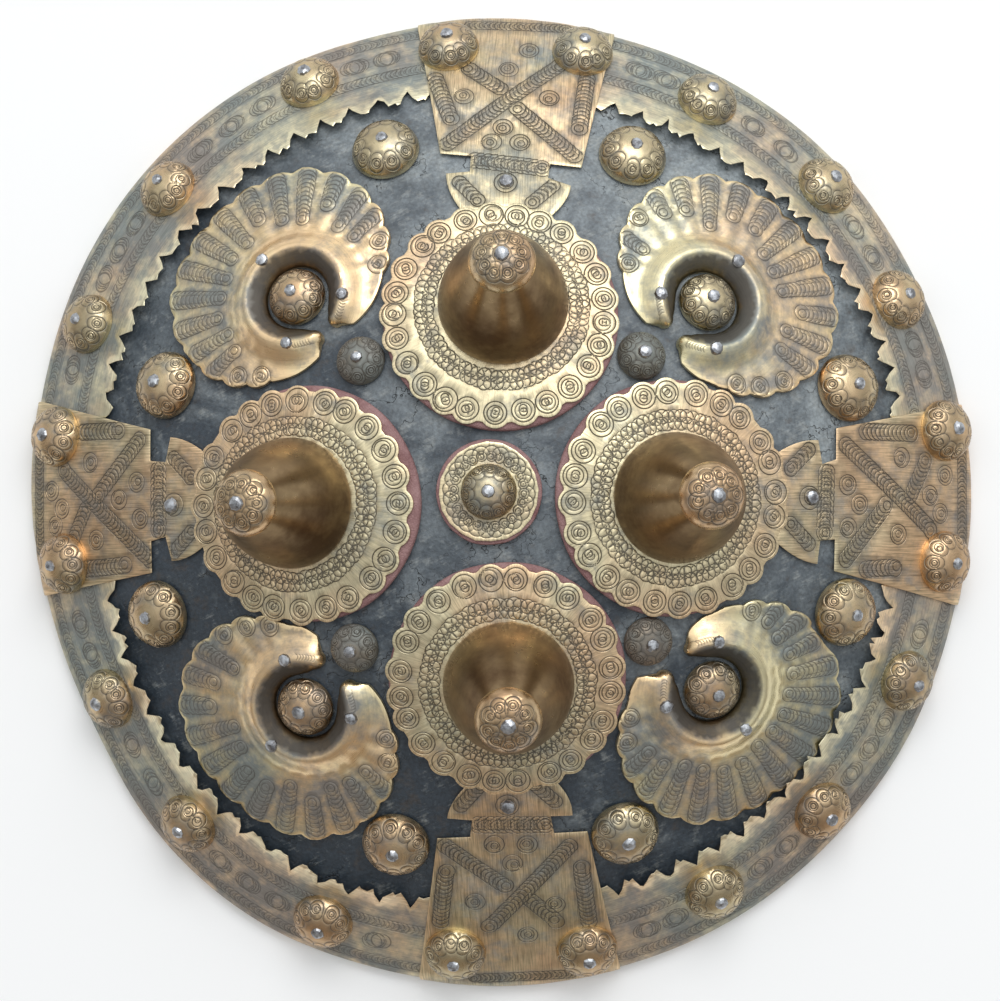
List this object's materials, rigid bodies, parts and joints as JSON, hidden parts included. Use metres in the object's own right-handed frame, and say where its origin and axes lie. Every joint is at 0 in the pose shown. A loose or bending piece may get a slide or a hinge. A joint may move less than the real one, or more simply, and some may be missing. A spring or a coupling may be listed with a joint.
{
  "type": "buckler shield",
  "caption": "Round domed hide shield with engraved brass rim bands, arm plates, fans, studs and tall bosses, and leather hand straps behind.",
  "frame": {"origin": "on the plane that the rim rests on, under the middle of the shield's outline", "axes": "+Z out of the shield's face through the top of the dome, +Y towards the shield's top as it is carried, +X to the right as seen from the front"},
  "size_m": [0.356, 0.3661, 0.1115],
  "materials": {
    "painted_hide": "dark blue-grey paint on cured hide, worn and finely cracked",
    "band_brass": "engraved sheet brass with heavy dark patina",
    "arm_brass": "engraved sheet brass, brushed, with patina in the grooves",
    "rosette_brass": "engraved sheet brass, worn bright, with patina in the grooves",
    "boss_brass": "polished brass, browned",
    "fan_brass": "engraved sheet brass, bright on its ridge, with blue-grey patina",
    "stud_brass": "engraved raised brass with patina in the grooves",
    "dark_brass": "engraved raised brass with heavy dark patina",
    "red_leather": "faded red leather, cut edge",
    "strap_leather": "dark brown rolled and stitched leather",
    "pad_leather": "worn dark red stuffed leather",
    "forged_iron": "forged iron, dull grey"
  },
  "bodies": {
    "root": {"hide_bowl": "painted_hide", "rim_band_north_east": "band_brass", "rim_band_north_west": "band_brass", "rim_band_south_west": "band_brass", "rim_band_south_east": "band_brass", "arm_plate_east": "arm_brass", "arm_plate_north": "arm_brass", "arm_plate_west": "arm_brass", "arm_plate_south": "arm_brass", "rosette_washer_east": "red_leather", "rosette_washer_north": "red_leather", "rosette_washer_west": "red_leather", "rosette_washer_south": "red_leather", "rosette_plate_east": "rosette_brass", "rosette_plate_north": "rosette_brass", "rosette_plate_west": "rosette_brass", "rosette_plate_south": "rosette_brass", "boss_east": "boss_brass", "boss_north": "boss_brass", "boss_west": "boss_brass", "boss_south": "boss_brass", "boss_cap_east": "stud_brass", "boss_cap_north": "stud_brass", "boss_cap_west": "stud_brass", "boss_cap_south": "stud_brass", "centre_washer": "red_leather", "centre_disc": "rosette_brass", "centre_stud": "stud_brass", "fan_north_east": "fan_brass", "fan_north_west": "fan_brass", "fan_south_west": "fan_brass", "fan_south_east": "fan_brass", "fan_stud_north_east": "stud_brass", "fan_stud_north_west": "stud_brass", "fan_stud_south_west": "stud_brass", "fan_stud_south_east": "stud_brass", "field_stud_east_upper": "stud_brass", "field_stud_north_right": "stud_brass", "field_stud_north_left": "stud_brass", "field_stud_west_upper": "stud_brass", "field_stud_west_lower": "stud_brass", "field_stud_south_left": "stud_brass", "field_stud_south_right": "stud_brass", "field_stud_east_lower": "stud_brass", "inner_stud_north_east": "dark_brass", "inner_stud_north_west": "dark_brass", "inner_stud_south_west": "dark_brass", "inner_stud_south_east": "dark_brass", "ring_bolt_east": "forged_iron", "ring_bolt_north": "forged_iron", "ring_bolt_west": "forged_iron", "ring_bolt_south": "forged_iron", "hand_strap_north_west": "strap_leather", "hand_strap_south_east": "strap_leather", "hand_pad": "pad_leather"}
  },
  "joints": []
}
